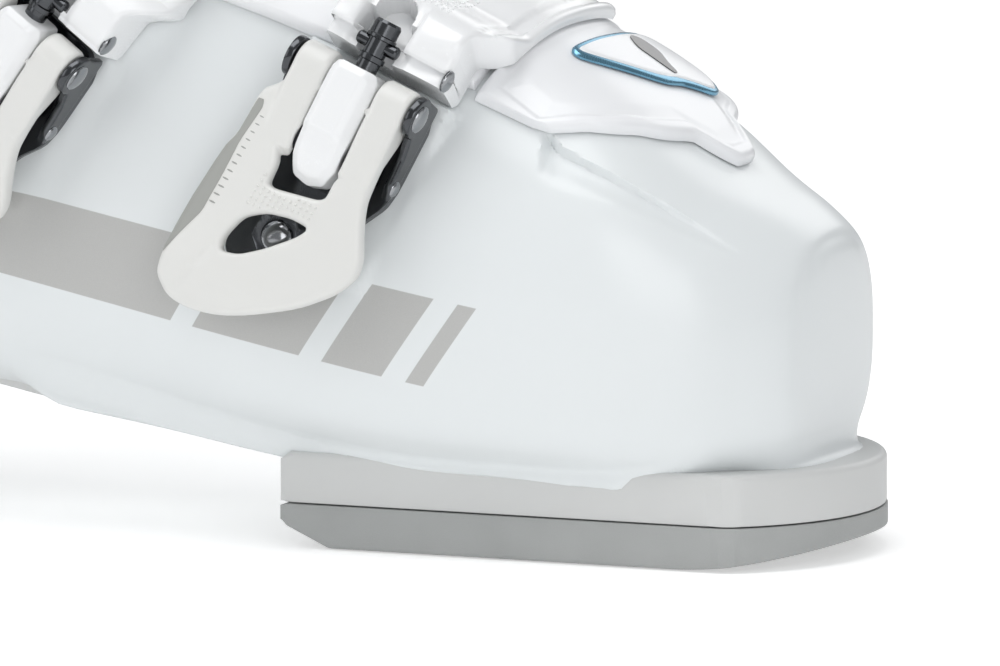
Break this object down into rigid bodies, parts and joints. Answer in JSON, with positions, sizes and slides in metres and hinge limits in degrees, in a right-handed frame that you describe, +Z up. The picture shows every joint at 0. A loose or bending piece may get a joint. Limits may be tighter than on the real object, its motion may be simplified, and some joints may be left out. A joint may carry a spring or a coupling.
{
  "type": "alpine ski boot",
  "caption": "Hard-shell alpine ski boot for the right foot: hinged cuff, overlapping flaps, four latch buckles with ladders, padded liner and a two-layer sole with square lugs.",
  "frame": {"origin": "under the ball of the foot, at the middle of the toe sole pad's ground face", "axes": "+X towards the toe, +Y to the medial side of a right boot, +Z up"},
  "size_m": [0.2966, 0.1493, 0.3217],
  "materials": {
    "shell": "satin cool white",
    "flap": "satin white",
    "pearl": "pearl white",
    "chrome": "dark bright metal",
    "pad": "grey sole rubber",
    "liner": "padded pale grey",
    "lining": "grey",
    "board": "grey",
    "strap": "woven grey",
    "badge": "blue metallic rim"
  },
  "bodies": {
    "shell": {"lower_shell": "shell", "toe_flap": "flap", "instep_flap": "flap", "toe_badge": "badge", "toe_sole_pad": "pad", "heel_sole_pad": "pad", "toe_sole_screw_1": "chrome", "toe_sole_screw_2": "chrome", "toe_sole_screw_3": "chrome", "toe_sole_screw_4": "chrome", "heel_sole_screw_1": "chrome", "heel_sole_screw_2": "chrome", "heel_sole_screw_3": "chrome", "boot_board": "board", "footbed": "lining", "liner_foot": "liner", "ankle_bolt_lateral": "chrome", "ankle_bolt_medial": "chrome", "forefoot_base_plate": "chrome", "forefoot_ladder": "pearl", "instep_base_plate": "chrome", "instep_ladder": "pearl"},
    "cuff": {"cuff": "shell", "cuff_flap": "flap", "liner_shaft": "liner", "liner_tongue": "liner", "power_strap": "strap", "spine_bolt_1": "chrome", "spine_bolt_2": "chrome", "lower_cuff_base_plate": "chrome", "lower_cuff_ladder": "pearl", "upper_cuff_base_plate": "chrome", "upper_cuff_ladder": "pearl"},
    "forefoot_lever": {"forefoot_lever": "pearl"},
    "forefoot_bail": {"forefoot_barrel": "pearl"},
    "forefoot_hook": {"forefoot_hook": "chrome"},
    "instep_lever": {"instep_lever": "pearl"},
    "instep_bail": {"instep_barrel": "pearl"},
    "instep_hook": {"instep_hook": "chrome"},
    "lower_cuff_lever": {"lower_cuff_lever": "pearl"},
    "lower_cuff_bail": {"lower_cuff_barrel": "pearl"},
    "lower_cuff_hook": {"lower_cuff_hook": "chrome"},
    "upper_cuff_lever": {"upper_cuff_lever": "pearl"},
    "upper_cuff_bail": {"upper_cuff_barrel": "pearl"},
    "upper_cuff_hook": {"upper_cuff_hook": "chrome"}
  },
  "joints": [
    {"name": "cuff_flex", "type": "hinge", "parent": "shell", "child": "cuff", "pos_m": [-0.156, 0, 0.106], "axis": [0, 1, 0], "range_deg": [0, 8], "stiffness_Nm_per_rad": 400},
    {"name": "forefoot_lever_swing", "type": "hinge", "parent": "shell", "child": "forefoot_lever", "pos_m": [-0.03325, -0.05051, 0.09411], "axis": [-0.917, 0.0254, 0.3982], "range_deg": [0, 108]},
    {"name": "forefoot_bail_pivot", "type": "hinge", "parent": "forefoot_lever", "child": "forefoot_bail", "pos_m": [-0.03857, -0.05396, 0.08208], "axis": [-0.917, 0.0254, 0.3982], "range_deg": [-108, 0]},
    {"name": "forefoot_hook_reach", "type": "slide", "parent": "forefoot_bail", "child": "forefoot_hook", "axis": [0.3911, 0.2541, 0.8846], "range_m": [0, 0.004]},
    {"name": "instep_lever_swing", "type": "hinge", "parent": "shell", "child": "instep_lever", "pos_m": [-0.10266, -0.05429, 0.10276], "axis": [-0.8053, 0.0722, 0.5884], "range_deg": [0, 108]},
    {"name": "instep_bail_pivot", "type": "hinge", "parent": "instep_lever", "child": "instep_bail", "pos_m": [-0.11069, -0.0543, 0.09178], "axis": [-0.8053, 0.0722, 0.5884], "range_deg": [-108, 0]},
    {"name": "instep_hook_reach", "type": "slide", "parent": "instep_bail", "child": "instep_hook", "axis": [0.59, 0.0007, 0.8074], "range_m": [0, 0.004]},
    {"name": "lower_cuff_lever_swing", "type": "hinge", "parent": "cuff", "child": "lower_cuff_lever", "pos_m": [-0.11286, -0.05552, 0.2013], "axis": [0.239, 0.0033, 0.971], "range_deg": [0, 108]},
    {"name": "lower_cuff_bail_pivot", "type": "hinge", "parent": "lower_cuff_lever", "child": "lower_cuff_bail", "pos_m": [-0.12495, -0.06098, 0.2043], "axis": [0.239, 0.0033, 0.971], "range_deg": [-108, 0]},
    {"name": "lower_cuff_hook_reach", "type": "slide", "parent": "lower_cuff_bail", "child": "lower_cuff_hook", "axis": [0.889, 0.4016, -0.2202], "range_m": [0, 0.004]},
    {"name": "upper_cuff_lever_swing", "type": "hinge", "parent": "cuff", "child": "upper_cuff_lever", "pos_m": [-0.09753, -0.05705, 0.25036], "axis": [0.257, -0.0173, 0.9663], "range_deg": [0, 108]},
    {"name": "upper_cuff_bail_pivot", "type": "hinge", "parent": "upper_cuff_lever", "child": "upper_cuff_bail", "pos_m": [-0.10923, -0.06331, 0.25336], "axis": [0.257, -0.0173, 0.9663], "range_deg": [-108, 0]},
    {"name": "upper_cuff_hook_reach", "type": "slide", "parent": "upper_cuff_bail", "child": "upper_cuff_hook", "axis": [0.8597, 0.4607, -0.2204], "range_m": [0, 0.004]}
  ],
  "couplings": [
    {"joint": "forefoot_bail_pivot", "follows": "forefoot_lever_swing", "ratio": -1},
    {"joint": "instep_bail_pivot", "follows": "instep_lever_swing", "ratio": -1},
    {"joint": "lower_cuff_bail_pivot", "follows": "lower_cuff_lever_swing", "ratio": -1},
    {"joint": "upper_cuff_bail_pivot", "follows": "upper_cuff_lever_swing", "ratio": -1}
  ]
}
